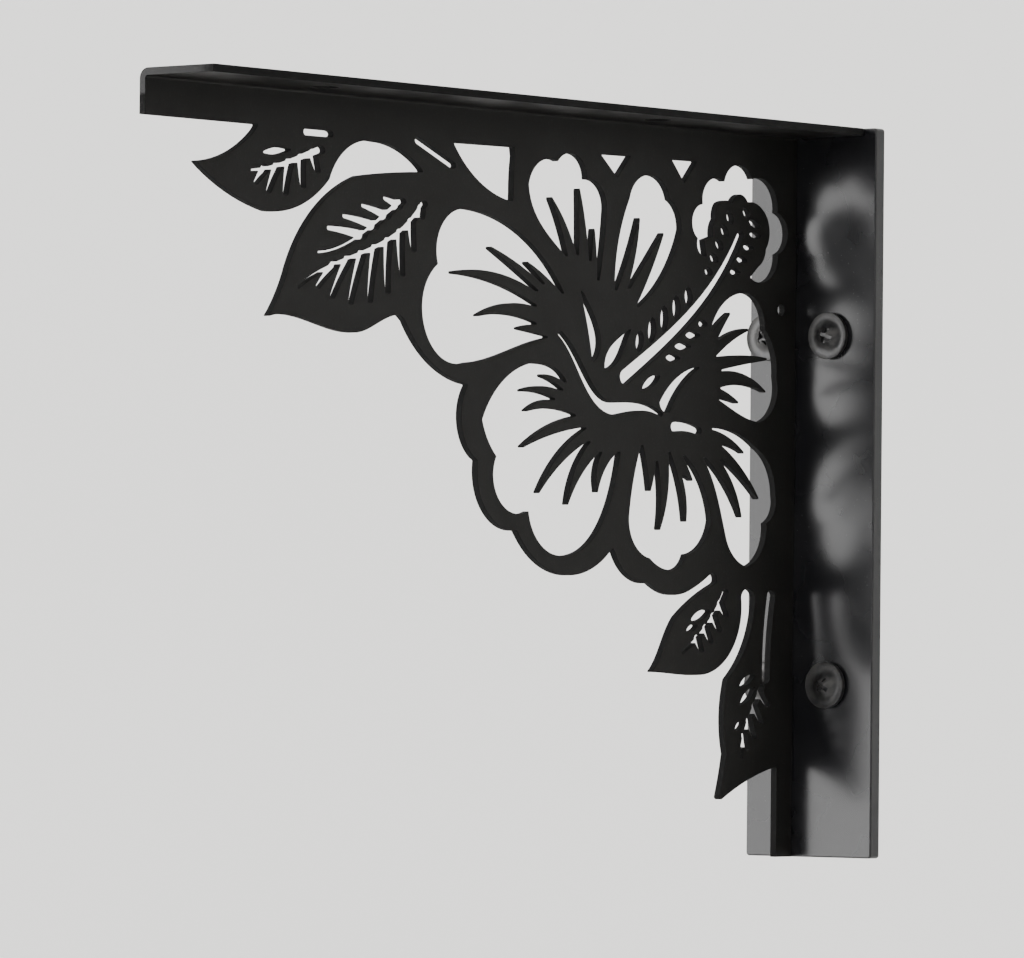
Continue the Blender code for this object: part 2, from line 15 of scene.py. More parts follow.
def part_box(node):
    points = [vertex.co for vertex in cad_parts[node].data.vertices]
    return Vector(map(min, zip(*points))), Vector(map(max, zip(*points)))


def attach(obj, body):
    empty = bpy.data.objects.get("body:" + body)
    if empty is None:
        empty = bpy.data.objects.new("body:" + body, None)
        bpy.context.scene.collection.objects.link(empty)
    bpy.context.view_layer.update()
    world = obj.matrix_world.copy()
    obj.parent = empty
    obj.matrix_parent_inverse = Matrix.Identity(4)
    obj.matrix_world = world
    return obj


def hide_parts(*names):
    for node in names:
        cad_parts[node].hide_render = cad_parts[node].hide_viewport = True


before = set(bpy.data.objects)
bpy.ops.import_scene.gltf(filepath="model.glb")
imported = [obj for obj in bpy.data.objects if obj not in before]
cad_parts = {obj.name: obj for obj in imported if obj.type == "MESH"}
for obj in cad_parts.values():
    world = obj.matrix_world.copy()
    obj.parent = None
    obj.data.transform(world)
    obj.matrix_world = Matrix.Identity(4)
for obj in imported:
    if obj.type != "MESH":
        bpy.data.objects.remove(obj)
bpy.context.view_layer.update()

MM = 0.001

# Sizes read from the frame, in millimetres
plate_low, plate_high = (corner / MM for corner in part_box("flower_plate"))
bar_low, bar_high = (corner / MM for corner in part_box("wall_bar"))
TOP = plate_high.z
DEPTH = -plate_low.y
HEIGHT = TOP - plate_low.z
PLATE_LEFT = plate_low.x
LEDGE_WIDTH = plate_high.x - plate_low.x
WALL_SIDE = -plate_high.y
BAR_THICKNESS = -bar_low.y

# Sizes repeated from the part, in millimetres
SHEET = 1.5
FOLD_RADIUS = 0.5
LEDGE_HOLES_OUT = (60.0, 160.0)
LEDGE_HOLE = 5.0
LEDGE_HOLE_FROM_EDGE = 8.0
SCREW_HOLE = 4.6
SHANK_DIAMETER = 4.0
HEAD_DIAMETER = 9.5
HEAD_HEIGHT = 2.8
HEAD_RIM = 0.9
CROWN_BEND = (20.0, 48.0)
RECESS_LENGTH = 5.2
RECESS_WIDTH = 1.1
RECESS_DEPTH = 1.6
SCREW_TURNS = {"upper_right": 20.0, "upper_left": -35.0, "lower_right": 40.0, "lower_left": 5.0}
TOP_BAND = 8.6
WALL_BAND = 8.8
RAY_SWELL = 2.5
RAY_TIP = 0.5
GAP_END = 0.3
WINDOW_SPREAD = 0.4
CUT_SPREAD = 0.7
FINE_TIP = 0.35
ROUND_END = 85.0
BARB_BEND = 4.0
BARB_TIP = 0.8

# How finely the shapes are made, in millimetres and degrees
CHORD_ERROR = 0.012
SHORTEST_EDGE = 0.03
SHARP_TURN = 50.0             # a corner that turns more is rounded off
LOOK = 0.15                   # distance over which a corner's turn is read
CORNER_GAP = 0.25             # two corners nearer than this are one
TIP_RADIUS = 0.16             # round of a corner or a point of the pattern
LONGEST_TIP = 2.0             # most that a round takes off a point
GAP_SHARE = 0.48              # most that a corner's round takes of the way to the next corner
MITRE = 0.6                   # least cosine of half a turn that an inset follows
MERGE = 0.001                 # points nearer than this are one
LEVEL_ERROR = 0.0001          # how far off a level a point may lie and count as on it
FILL_ERROR = 0.00001
PLATE_ARRIS = 0.12
PLATE_ARRIS_STEPS = 2
BAR_CORNER = 0.7
BAR_ARRIS = 0.35
BAR_ARRIS_STEPS = 4
FOLD_ROWS = 14
ROUND_SIDES = 64
UNDERCUT = 0.15               # round under the rim of a screw's head
RECESS_TAPER = 0.6            # size of a recess at its floor
SCREW_SHARP = 32.0            # a screw's edge that turns more stays sharp
FRONT_END = 0.4               # depth of the smoother coat on the front end

# The view, in metres and degrees
VIEWPOINT = Vector((0.963, -1.2518, -0.0349))
LOOK_AT = Vector((0.0, -0.098, 0.004))
ROLL = 0.54
LENS = 272.0
NEAREST_SEEN = 0.05
FARTHEST_SEEN = 30.0

# The studio, in metres
FLOOR_DROP = 2.6
STUDIO_RADIUS = 4.6
STUDIO_COVE = 1.6
STUDIO_TOP = 4.0
STUDIO_SIDES = 96
COVE_STEPS = 16
STUDIO_MERGE = 0.0001         # points nearer than this are one
WORLD_COLOUR = (1.0, 0.995, 0.985)
WORLD_STRENGTH = 1.7
PAPER_CLOUD = 900.0           # in millimetres
PAPER_TONES = ((0.84, 0.837, 0.828), (0.87, 0.867, 0.858))
PAPER_GLOW_COLOUR = (1.0, 0.997, 0.985)
PAPER_GLOW = 0.2              # even light over the studio paper

# Soft lights: direction from the bracket, distance, side and radiance
SOFTBOXES = {
    "window_light": ((-0.70, -0.72, 0.04), 2.4, 2.0, 8.0),
    "top_light": ((0.2, -0.5, 1.0), 2.6, 1.6, 1.5),
}

# The finishes: sizes of clouds, grains and ripples and heights of bumps in millimetres, tones from the
# darker to the lighter, and roughness from the smoother to the duller
COAT_CLOUD = 14.0
COAT_GRAIN = 0.45
COAT_RIPPLE = 1.6
COAT_TONES = ((0.0045, 0.0044, 0.0041), (0.0060, 0.0058, 0.0054))
COAT_SPECK = (0.0095, 0.0092, 0.0085)
# Painted shade: the plate's cut walls are coloured a little darker than the coat on its faces
COAT_PAINTED_EDGE_SHADE = (0.004, 0.004, 0.004)
COAT_ROUGHNESS = (0.46, 0.56)
EDGE_ROUGHER = 0.38
FRONT_SMOOTHER = 0.72
COAT_BUMP = 0.012
PAINT_CLOUD = 18.0
PAINT_DUST = 0.6
PAINT_PULL = 9.0
PAINT_RIPPLE = 1.1
PAINT_TONES = ((0.006, 0.006, 0.007), (0.010, 0.010, 0.011))
PAINT_ROUGHNESS = (0.21, 0.26)
DUST_ROUGHER = 0.06
PAINT_BUMP = 0.02
OXIDE_CLOUD = 1.5
OXIDE_GRAIN = 0.3
OXIDE_TONES = ((0.012, 0.012, 0.013), (0.03, 0.029, 0.028))
OXIDE_ROUGHNESS = (0.3, 0.46)
OXIDE_BUMP = 0.006

# The plate's middle line unrolled: the fold starts this far down and takes up this length
FOLD_START = SHEET + FOLD_RADIUS
FOLD_MID = FOLD_RADIUS + SHEET / 2.0
FOLD_LENGTH = FOLD_MID * math.pi / 2.0
LEDGE_RUN = LEDGE_WIDTH - SHEET - FOLD_RADIUS

# The pattern, as (out from the wall, down from the top) in millimetres. A corner's third number is how
# many degrees its side bends off the straight line to the next corner, outwards on the way round
# (front, bottom, wall, top); a fourth is the same where the side arrives, and is left out on an arc.
SILHOUETTE = (
    (DEPTH, TOP_BAND),
    (168.5, TOP_BAND, -22),                                  # leaf under the front of the ledge
    (186.3, 16.4, 12),
    (166.0, 24.8, 24),
    (148.0, 17.8, -38),
    (135.0, 9.9, -20),
    (120.8, 14.9, 3),                                        # big leaf
    (140.0, 16.7, 26),
    (160.5, 36.5, -8),
    (165.4, 44.6, -20, 6),
    (141.0, 46.7, 18, -14),
    (127.2, 42.7, 5),                                        # rim of the flower
    (126.0, 43.7, 25),
    (107.0, 55.4, 50),
    (104.0, 70.0, 52),
    (91.8, 83.4, 50),
    (61.8, 86.2, 37),
    (50.3, 93.0, 26),
    (37.5, 94.4, 6),
    (30.2, 90.7, -80),
    (29.4, 92.8, 8),                                         # leaf below the flower
    (41.5, 99.5, 12, -14),
    (49.3, 110.7, -3, 5),
    (33.5, 111.2, 48),
    (20.4, 95.3, -78),
    (16.3, 95.3, -25),                                       # leaf along the wall
    (25.0, 112.0, 17),
    (25.3, 127.0, -4),
    (27.5, 135.7, 30),
    (26.2, 136.2, -8),
    (WALL_BAND, 129.7),
    (WALL_BAND, HEIGHT),
    (WALL_SIDE, HEIGHT),
)

# Each petal is an open window: the corners of its outer rim, then for each dark ray that reaches in
# from the throat the gap before it, the ray's tip and its curl, then the last gap.
PETALS = {
    "upper_left": (
        ((65.1, 19.0, 50), (71.3, 13.6, 71), (80.0, 10.6, 50), (88.8, 15.5, 35, 14)),
        ((77.2, 28.9, 81.9, 17.9, 9), (73.8, 28.5, 73.4, 15.8, 4), (69.9, 29.5, 68.7, 23.5, 3)),
        (67.3, 33.2, 4)),
    "upper_middle": (
        ((41.3, 22.0, 36), (45.0, 16.2, 75), (57.4, 16.6, 15)),
        ((61.7, 34.9, 54.5, 20.6, 8), (57.6, 34.4, 46.9, 23.2, 3)),
        (54.8, 37.9, 21)),
    "left": (
        ((107.5, 21.4, 57), (116.0, 32.4, 80), (107.5, 51.1, 10, -4)),
        ((83.2, 45.2, 91.6, 43.8, 3), (86.7, 42.7, 104.0, 41.8, 15), (86.7, 39.2, 111.5, 33.8, 13),
         (86.3, 36.2, 100.3, 28.5, 4), (84.3, 34.7, 89.2, 30.9, 5)),
        (78.3, 36.3, 26, 24)),
    "right": (
        ((15.5, 59.8, 49), (9.9, 50.5, 27), (13.8, 40.8, 46), (20.5, 33.8, 34)),
        ((31.0, 41.9, 25.2, 38.2, -6), (28.7, 43.5, 19.2, 41.2, -11), (29.0, 46.9, 12.9, 46.9, -4),
         (27.3, 49.7, 13.3, 53.5, -18), (27.6, 53.3, 22.2, 56.0, -5)),
        (28.0, 55.6, 4, 12)),
    "lower_left": (
        ((88.0, 50.6, 27), (102.3, 62.0, 16), (97.9, 69.0, 72), (88.0, 79.3, 43), (77.5, 88.0, 48, 30)),
        ((60.3, 67.2, 66.9, 75.0, 25), (66.0, 67.4, 76.1, 77.7, 18), (69.7, 65.4, 85.0, 75.7, 15),
         (71.0, 62.7, 90.0, 66.9, 10), (74.3, 60.3, 89.0, 59.8, 16), (80.8, 57.3, 90.4, 55.9, 12),
         (78.3, 55.4, 84.3, 52.8, 12)),
        (77.2, 53.8, 36, 18)),
    "lower_middle": (
        ((56.7, 80.0, 42), (50.0, 88.0, 42, 62), (38.8, 87.0, 38), (30.9, 80.0, 25)),
        ((39.6, 67.4, 36.9, 72.0, -4), (39.8, 71.3, 38.8, 80.2, -15), (44.3, 66.8, 47.1, 82.0, -16),
         (48.3, 68.7, 50.2, 74.3, -8)),
        (53.0, 65.7, 8)),
    "lower_right": (
        ((25.5, 83.5, 29), (19.0, 89.1, 42), (12.9, 80.2, 44), (9.9, 74.5, 34), (16.5, 65.0, 18)),
        ((30.2, 61.6, 20.3, 66.1, -12), (26.9, 64.9, 15.4, 75.2, -10), (27.6, 67.8, 20.9, 79.0, -16)),
        (33.0, 67.6, -18, -6)),
}

# Scalloped opening round the pollen head, whose own outline is its inner side
POLLEN_OPENING = (
    (18.4, 30.5, 64), (9.8, 25.4, 77), (10.0, 17.0, 60), (18.3, 10.7, 72), (27.1, 11.8, 68),
    (34.0, 16.5, 72), (35.5, 23.4, 60), (33.1, 26.9, -4), (33.9, 23.6), (31.2, 22.8, -25),
    (30.2, 19.2, -25), (29.2, 15.9, -22), (24.8, 15.6, -62), (19.4, 15.3, -25), (14.4, 16.6, -46),
    (13.3, 24.6, -30), (15.6, 28.2),
)

# Plain cuts with corners: the gaps under the band, then the cuts in the throat
CORNERED_CUTS = (
    ((111.7, 8.7, 23), (94.2, 19.1, -8), (93.5, 8.5)),
    ((66.6, 8.3), (61.4, 12.6), (57.8, 8.2)),
    ((44.1, 8.1), (40.1, 12.5), (36.6, 8.0)),
    ((72.7, 35.4, -6), (68.6, 49.6, 60, 22)),
    ((57.0, 42.5, 12, 48), (64.8, 50.8, 45, 5)),
    ((34.5, 49.2, 24), (47.3, 56.8, 45), (44.9, 58.8, -18)),
)

# Ribbon cuts: start, end, width at the start, width at the end, bend away, bend back
RIBBON_CUTS = (
    ((122.6, 8.9), (112.2, 13.1), 1.3, 1.3, 0.0, 0.0),       # stem of the big leaf
    ((155.0, 9.2), (148.4, 9.2), 1.3, 1.3, 0.0, 0.0),        # dash above the front leaf
    ((79.0, 44.3), (61.5, 58.6), 0.9, 2.4, -8.0, 40.0),      # long line across the throat
    ((61.9, 58.6), (46.8, 59.4), 2.4, 0.6, -8.0, -24.0),
    ((42.8, 61.6), (35.2, 62.1), 1.9, 1.5, -12.0, -12.0),
    ((58.6, 52.2), (22.0, 22.1), 2.9, 1.5, 9.0, 20.0),       # stamen, from the throat to the pollen head
    ((10.9, 94.8), (12.5, 112.0), 2.0, 1.8, 6.0, 6.0),       # stalk of the wall leaf
)

# Rows of slim cuts: first middle, last middle, count, length at the first, at the last and extra
# halfway, heading of the first and the last (degrees from straight down), width
SLIM_ROWS = (
    ((54.2, 44.9), (38.7, 35.3), 5, (4.4, 4.1, 1.2), (8.0, -4.0), 1.7),
    ((43.5, 47.8), (34.0, 40.6), 4, (4.2, 2.2, 1.6), (90.0, 86.0), 1.4),
    ((32.3, 30.0), (25.5, 18.7), 5, (1.9, 2.9, 0.3), (-60.0, -20.0), 1.4),
    ((23.6, 29.7), (17.1, 21.9), 4, (2.9, 3.4, -0.1), (90.0, 96.0), 1.2),
    ((17.4, 19.6), (20.1, 17.5), 2, (3.4, 2.6, 0.0), (112.0, 140.0), 1.3),
)

# Single slim cuts: start, end, width
SLIM_CUTS = (
    ((53.0, 54.3), (47.8, 51.5), 1.8),
    ((167.4, 13.8), (159.4, 12.8), 1.3),
    ((36.8, 100.2), (31.0, 98.2), 1.8),
    ((38.2, 102.3), (35.0, 101.2), 1.2),
    ((20.8, 113.4), (16.2, 111.0), 1.6),
    ((20.6, 117.2), (16.2, 113.6), 1.7),
    ((22.2, 122.3), (19.8, 120.5), 1.3),
)

# Leaf veins with a row of barbs. The line is start, end, bend away, bend back and width at the end.
# Barbs stand on the given span of it; their lean is in degrees from straight down towards the leaf's
# tip, at the first, at the last and extra halfway, and their length is greatest at the peak and falls
# to nothing at the reach on either side of it.
VEINS = (
    {"line": ((170.4, 17.3), (150.8, 12.4), 10.0, 4.0, 1.5), "count": 5, "span": (0.18, 0.88),
     "lean": (42.0, -22.0, 0.0), "longest": 6.0, "peak": 0.53, "reach": 0.55, "root": 1.8},
    {"line": ((151.2, 31.8), (127.0, 20.9), 22.0, 6.0, 1.3), "count": 4, "span": (0.5, 0.95),
     "lean": (95.0, 106.0, 0.0), "longest": 9.8, "peak": 0.45, "reach": 0.65, "root": 2.0},
    {"line": ((157.0, 38.8), (120.6, 21.0), -8.0, 26.0, 1.3), "count": 8, "span": (0.28, 0.97),
     "lean": (47.0, -8.0, -16.0), "longest": 10.3, "peak": 0.56, "reach": 0.45, "root": 1.8},
    {"line": ((39.6, 106.9), (25.9, 94.4), 12.0, 18.0, 1.1), "count": 4, "span": (0.3, 0.85),
     "lean": (-30.0, -38.0, 0.0), "longest": 3.4, "peak": 0.6, "reach": 0.7, "root": 1.6},
    {"line": ((20.3, 127.9), (13.7, 113.4), -22.0, -2.0, 1.0), "count": 4, "span": (0.3, 0.92),
     "lean": (-20.0, -44.0, 0.0), "longest": 3.9, "peak": 0.7, "reach": 0.8, "root": 1.5},
)

# The hanging hole: its middle and its diameter
HANGING_HOLE = ((8.1, 36.7), 2.3)


def bend_handles(start, end, leave, arrive):
    """The two middle control points of a bent side."""
    run = Vector(end) - Vector(start)
    heading = math.atan2(run.y, run.x)
    handles = []
    for base, sign, bend in ((start, 1.0, leave), (end, -1.0, arrive)):
        angle = heading - sign * math.radians(bend)
        reach = run.length / 3.0 / math.cos(math.radians(bend) / 2.0) ** 2
        handles.append(Vector(base) + sign * reach * Vector((math.cos(angle), math.sin(angle))))
    return handles


def bend_point(start, end, leave, arrive, share):
    """The point at a share of the way along a bent side."""
    first, second = bend_handles(start, end, leave, arrive)
    rest = 1.0 - share
    point = rest ** 3 * Vector(start) + share ** 3 * Vector(end)
    return point + 3.0 * rest * share * (rest * first + share * second)


def bent_side(start, end, leave=0.0, arrive=None):
    """Points of a bent side, from its start up to but not including its end."""
    if arrive is None:
        arrive = leave
    length = math.dist(start, end)
    turn = math.radians(abs(leave) + abs(arrive))
    pieces = max(1, math.ceil(math.sqrt(length * turn / (8.0 * CHORD_ERROR))))
    return [bend_point(start, end, leave, arrive, step / pieces) for step in range(pieces)]


def closed_outline(corners):
    """Outline through corners of (out, down, bend away, bend back)."""
    points = []
    for index, corner in enumerate(corners):
        following = corners[(index + 1) % len(corners)]
        points += bent_side(corner[:2], following[:2], *corner[2:])
    return points


def petal_window(rim, rays, last_gap):
    """Outline of a petal's window: its lobed rim, then in and out along each dark ray."""
    corners = list(rim)
    gaps = [Vector(ray[:2]) for ray in rays] + [Vector(last_gap[:2])]
    for gap, next_gap, (_, _, *tip, curl) in zip(gaps, gaps[1:], rays):
        run = (Vector(tip) - (gap + next_gap) / 2.0).normalized()
        across = Vector((-run.y, run.x))
        gap_step = across * GAP_END / 2.0
        tip_step = across * (RAY_TIP + WINDOW_SPREAD * abs(run.y)) / 2.0
        corners.append((*(gap + gap_step), ROUND_END))
        corners.append((*(gap - gap_step), curl - RAY_SWELL))
        corners.append((*(Vector(tip) + tip_step), -ROUND_END))
        corners.append((*(Vector(tip) - tip_step), -curl - RAY_SWELL))
    corners.append((*(next_gap + gap_step), ROUND_END))
    corners.append((*(next_gap - gap_step), *last_gap[2:]))
    return closed_outline(corners)


def ribbon(start, end, start_width, end_width, leave=0.0, arrive=0.0):
    """Outline of a bent ribbon with round ends, its width changing evenly."""
    spine = bent_side(start, end, leave, arrive) + [Vector(end)]
    left_edge = []
    right_edge = []
    for index, point in enumerate(spine):
        run = spine[min(index + 1, len(spine) - 1)] - spine[max(index - 1, 0)]
        share = index / (len(spine) - 1)
        half_width = (start_width + (end_width - start_width) * share) / 2.0
        across = Vector((-run.y, run.x)).normalized() * half_width
        left_edge.append(point - across)
        right_edge.append(point + across)
    right_edge.reverse()
    outline = []
    for edge, following in ((left_edge, right_edge), (right_edge, left_edge)):
        outline += edge
        if math.dist(edge[-1], following[0]) > 2.0 * FINE_TIP:
            outline += bent_side(edge[-1], following[0], ROUND_END)[1:]
    return outline


def slim_cut(start, end, width):
    """Outline of a slim pointed cut, widest in the middle."""
    bend = math.degrees(2.0 * math.atan(width / math.dist(start, end)))
    return closed_outline(((*start, bend), (*end, bend)))


def round_hole(middle, diameter):
    """Outline of a round hole."""
    left = (middle[0] - diameter / 2.0, middle[1])
    right = (middle[0] + diameter / 2.0, middle[1])
    return closed_outline([(*left, 90.0), (*right, 90.0)])


def varied(first, last, extra, share):
    """A value that changes evenly from first to last, with an extra amount halfway."""
    return first + (last - first) * share + extra * 4.0 * share * (1.0 - share)


def slim_row(first, last, count, lengths, headings, width):
    """Outlines of a row of slim cuts."""
    outlines = []
    for index in range(count):
        share = index / (count - 1)
        middle = Vector(first).lerp(Vector(last), share)
        angle = math.radians(varied(*headings, 0.0, share))
        half_run = Vector((math.sin(angle), math.cos(angle))) * varied(*lengths, share) / 2.0
        outlines.append(slim_cut(middle - half_run, middle + half_run, width))
    return outlines


def barbed_vein(line, count, span, lean, longest, peak, reach, root):
    """Outlines of a vein and of the barbs along it."""
    start, end, leave, arrive, end_width = line
    outlines = [ribbon(start, end, FINE_TIP, end_width, leave, arrive)]
    for index in range(count):
        share = index / (count - 1)
        place = varied(*span, 0.0, share)
        foot = bend_point(start, end, leave, arrive, place)
        length = longest * (1.0 - ((place - peak) / reach) ** 2)
        angle = math.radians(varied(*lean, share))
        tip = foot + length * Vector((math.sin(angle), math.cos(angle)))
        outlines.append(ribbon(foot, tip, root, BARB_TIP, BARB_BEND, BARB_BEND))
    return outlines


def all_cuts():
    """Outlines of everything that is cut out of the plate."""
    windows = [petal_window(*petal) for petal in PETALS.values()]
    windows.append(closed_outline(POLLEN_OPENING))
    moved = [[point - Vector((WINDOW_SPREAD, 0.0)) for point in outline] for outline in windows]
    widened = [spread(outline, WINDOW_SPREAD, -1.0) for outline in windows]
    cuts = [closed_outline(corners) for corners in CORNERED_CUTS]
    cuts += [ribbon(*values) for values in RIBBON_CUTS]
    cuts += [slim_cut(*values) for values in SLIM_CUTS]
    for row in SLIM_ROWS:
        cuts += slim_row(*row)
    for vein in VEINS:
        cuts += barbed_vein(**vein)
    cuts = [spread(outline, CUT_SPREAD, -1.0) for outline in cuts]
    return windows + moved + widened + cuts + [round_hole(*HANGING_HOLE)]


def spread(outline, amount, facing):
    """The outline with its sides that face out (1) or the wall (-1) moved towards the wall."""
    outline = wound_left(outline)
    moved = []
    for index, point in enumerate(outline):
        run = outline[(index + 1) % len(outline)] - outline[index - 1]
        share = max(facing * run.y / run.length, 0.0)
        moved.append(Vector((point.x - amount * share, point.y)))
    return moved


def plate_outline(top):
    """Outline of the plate from the given level down, its curved rim cut back like the windows."""
    outline = [Vector((WALL_SIDE, top)), Vector((DEPTH, top))] + closed_outline(SILHOUETTE)
    moved = spread(outline, WINDOW_SPREAD, 1.0)
    front = DEPTH - SHORTEST_EDGE
    pairs = zip(wound_left(outline), moved)
    return [new if old.y > TOP_BAND and WALL_BAND < old.x < front else old for old, new in pairs]


def is_wound_left(outline):
    """Whether the outline's inside is on the left of the way round."""
    return sum(a.x * b.y - b.x * a.y for a, b in zip(outline, outline[1:] + outline[:1])) > 0.0


def wound_left(outline):
    """The outline with its inside on the left of the way round."""
    return outline if is_wound_left(outline) else outline[::-1]


def pierced_rings(silhouette, cuts):
    """Closed rings of points round what the cuts, which may overlap, leave of the silhouette."""
    points = []
    faces = []
    for outline in [silhouette] + cuts:
        faces.append(list(range(len(points), len(points) + len(outline))))
        points += wound_left(outline)
    corners, _, triangles, _, _, covers = delaunay_2d_cdt(points, [], faces, 1, SHORTEST_EDGE / 10.0)
    sides = set()
    for triangle, cover in zip(triangles, covers):
        if set(cover) == {0}:
            sides.update(zip(triangle, triangle[1:] + triangle[:1]))
    following = {}
    for start, end in sorted(sides):
        if (end, start) not in sides:
            following.setdefault(start, []).append(end)
    rings = []
    while following:
        corner = next(iter(following))
        ring = []
        while corner in following:
            ring.append(corners[corner])
            ends = following[corner]
            step = ends.pop()
            if not ends:
                del following[corner]
            corner = step
        rings.append(without_short_edges(ring))
    return rings


def without_short_edges(ring):
    """The ring without points that crowd the one before."""
    kept = [ring[0]]
    for point in ring[1:]:
        if (point - kept[-1]).length > SHORTEST_EDGE:
            kept.append(point)
    if (kept[-1] - kept[0]).length < SHORTEST_EDGE:
        kept.pop()
    return kept


def along(ring, stations, distance):
    """The point of a closed ring at a distance along it."""
    distance %= stations[-1]
    index = bisect_right(stations, distance) - 1
    start = ring[index]
    end = ring[(index + 1) % len(ring)]
    return start.lerp(end, (distance - stations[index]) / (stations[index + 1] - stations[index]))


def turned_by(before, after):
    """Degrees from one direction to another, to the left."""
    return math.degrees(math.atan2(before.x * after.y - before.y * after.x, before.dot(after)))


def turn_at(ring, stations, station, look):
    """Degrees that a ring turns to the left over a short stretch."""
    here = along(ring, stations, station)
    before = here - along(ring, stations, station - look)
    return turned_by(before, along(ring, stations, station + look) - here)


def sharp_corners(ring, stations):
    """Place along the ring and turn of each of its sharp corners. Two that nearly meet count as one."""
    turns = [turn_at(ring, stations, station, LOOK) for station in stations[:-1]]
    corners = []
    for index, turn in enumerate(turns):
        beside = max(abs(turns[index - 1]), abs(turns[(index + 1) % len(turns)]))
        if abs(turn) > SHARP_TURN and abs(turn) >= beside:
            station = stations[index]
            if corners and station - corners[-1][0] < CORNER_GAP:
                station = (station + corners.pop()[0]) / 2.0
            corners.append((station, turn_at(ring, stations, station, 2.0 * LOOK)))
    return corners


def blunted(ring, radius):
    """The ring with its sharp corners rounded off."""
    stations = [0.0]
    for start, end in zip(ring, ring[1:] + ring[:1]):
        stations.append(stations[-1] + (end - start).length)
    corners = sharp_corners(ring, stations)
    length = stations[-1]
    rounds = []
    for index, (station, turn) in enumerate(corners):
        gap_before = (station - corners[index - 1][0]) % length or length
        gap_after = (corners[(index + 1) % len(corners)][0] - station) % length or length
        inner = math.radians(180.0 - abs(turn))
        room = GAP_SHARE * min(gap_before, gap_after)
        reach = min(radius / math.tan(inner / 2.0), LONGEST_TIP, room)
        start = along(ring, stations, station - reach)
        end = along(ring, stations, station + reach)
        heading = end - start
        arriving = start - along(ring, stations, station - reach - LOOK)
        leaving = along(ring, stations, station + reach + LOOK) - end
        arc = bent_side(start, end, turned_by(arriving, heading), turned_by(heading, leaving))
        rounds.append((station - reach, station + reach, arc + [end]))
    kept = []
    for point, station in zip(ring, stations):
        inside = any((station - first) % length <= last - first for first, last, _ in rounds)
        if not inside:
            kept.append((station, [point]))
    kept += [((first + last) / 2.0 % length, arc) for first, last, arc in rounds]
    kept.sort(key=lambda entry: entry[0])
    return without_short_edges([point for _, points in kept for point in points])


def with_rows(ring, rows):
    """The ring with extra points where it crosses the given levels."""
    points = []
    for start, end in zip(ring, ring[1:] + ring[:1]):
        points.append(start)
        shares = []
        for row in rows:
            if min(start.y, end.y) < row < max(start.y, end.y):
                shares.append((row - start.y) / (end.y - start.y))
        points += [start.lerp(end, share) for share in sorted(shares)]
    return points


def inward(ring):
    """At each point of a ring, the step that moves both its sides in by one."""
    steps = []
    for index, point in enumerate(ring):
        before = (point - ring[index - 1]).normalized()
        after = (ring[(index + 1) % len(ring)] - point).normalized()
        side = Vector((-before.y, before.x))
        middle = (side + Vector((-after.y, after.x))).normalized()
        steps.append(middle / max(middle.dot(side), MITRE))
    return steps


def filled(rings, rows):
    """Triangles that fill rings laid end to end, with edges along the given levels."""
    points = []
    faces = []
    for ring in rings:
        faces.append(list(range(len(points), len(points) + len(ring))))
        points += ring
    edges = []
    for row in rows:
        level = [index for index, point in enumerate(points) if abs(point.y - row) < LEVEL_ERROR]
        ends = sorted(level, key=lambda index: points[index].x)
        if len(ends) < 2:
            raise ValueError("a row doesn't run right across the sheet")
        edges.append((ends[0], ends[-1]))
    faces = [face if is_wound_left([points[i] for i in face]) else face[::-1] for face in faces]
    _, _, triangles, sources, _, covers = delaunay_2d_cdt(points, edges, faces, 1, FILL_ERROR)
    if any(len(source) != 1 for source in sources):
        raise ValueError("an inset ring meets itself or another")
    solid = [triangle for triangle, cover in zip(triangles, covers) if set(cover) == {0}]
    return [[sources[corner][0] for corner in triangle] for triangle in solid]


def edged_sheet(name, rings, thickness, arris, steps, lay, rows=()):
    """A sheet with rounded arrises, from its rings. Its attribute cut_edge is one on the cut walls."""
    points = [point for ring in rings for point in ring]
    insets = [step for ring in rings for step in inward(ring)]
    angles = [math.pi / 2.0 * step / steps for step in range(steps + 1)]
    levels = [(-1.0, angle) for angle in reversed(angles)] + [(1.0, angle) for angle in angles]
    places = []
    normals = []
    edge_shares = []
    for side, angle in levels:
        inset = arris * (1.0 - math.cos(angle))
        lift = side * (thickness / 2.0 - arris * (1.0 - math.sin(angle)))
        for point, step in zip(points, insets):
            place, across, down, through = lay(point + step * inset, lift)
            outward = -step.normalized()
            normal = (across * outward.x + down * outward.y) * math.cos(angle)
            places.append(place * MM)
            normals.append(normal + through * side * math.sin(angle))
            edge_shares.append(math.cos(angle))
    count = len(points)
    faces = []
    inner_rings = []
    start = 0
    for ring in rings:
        for index in range(len(ring)):
            here = start + index
            after = start + (index + 1) % len(ring)
            for level in range(len(levels) - 1):
                low, high = level * count, (level + 1) * count
                faces.append((low + here, low + after, high + after, high + here))
        steps_in = insets[start:start + len(ring)]
        inner_rings.append([point + step * arris for point, step in zip(ring, steps_in)])
        start += len(ring)
    last = (len(levels) - 1) * count
    for triangle in filled(inner_rings, rows):
        faces.append(tuple(last + corner for corner in triangle))
        faces.append(tuple(reversed(triangle)))
    mesh = bpy.data.meshes.new(name)
    mesh.from_pydata(places, [], faces)
    mesh.shade_smooth()
    mesh.normals_split_custom_set_from_vertices(normals)
    cut_edge = mesh.attributes.new("cut_edge", "FLOAT", "POINT")
    cut_edge.data.foreach_set("value", edge_shares)
    sheet = bpy.data.objects.new(name, mesh)
    bpy.context.scene.collection.objects.link(sheet)
    return sheet


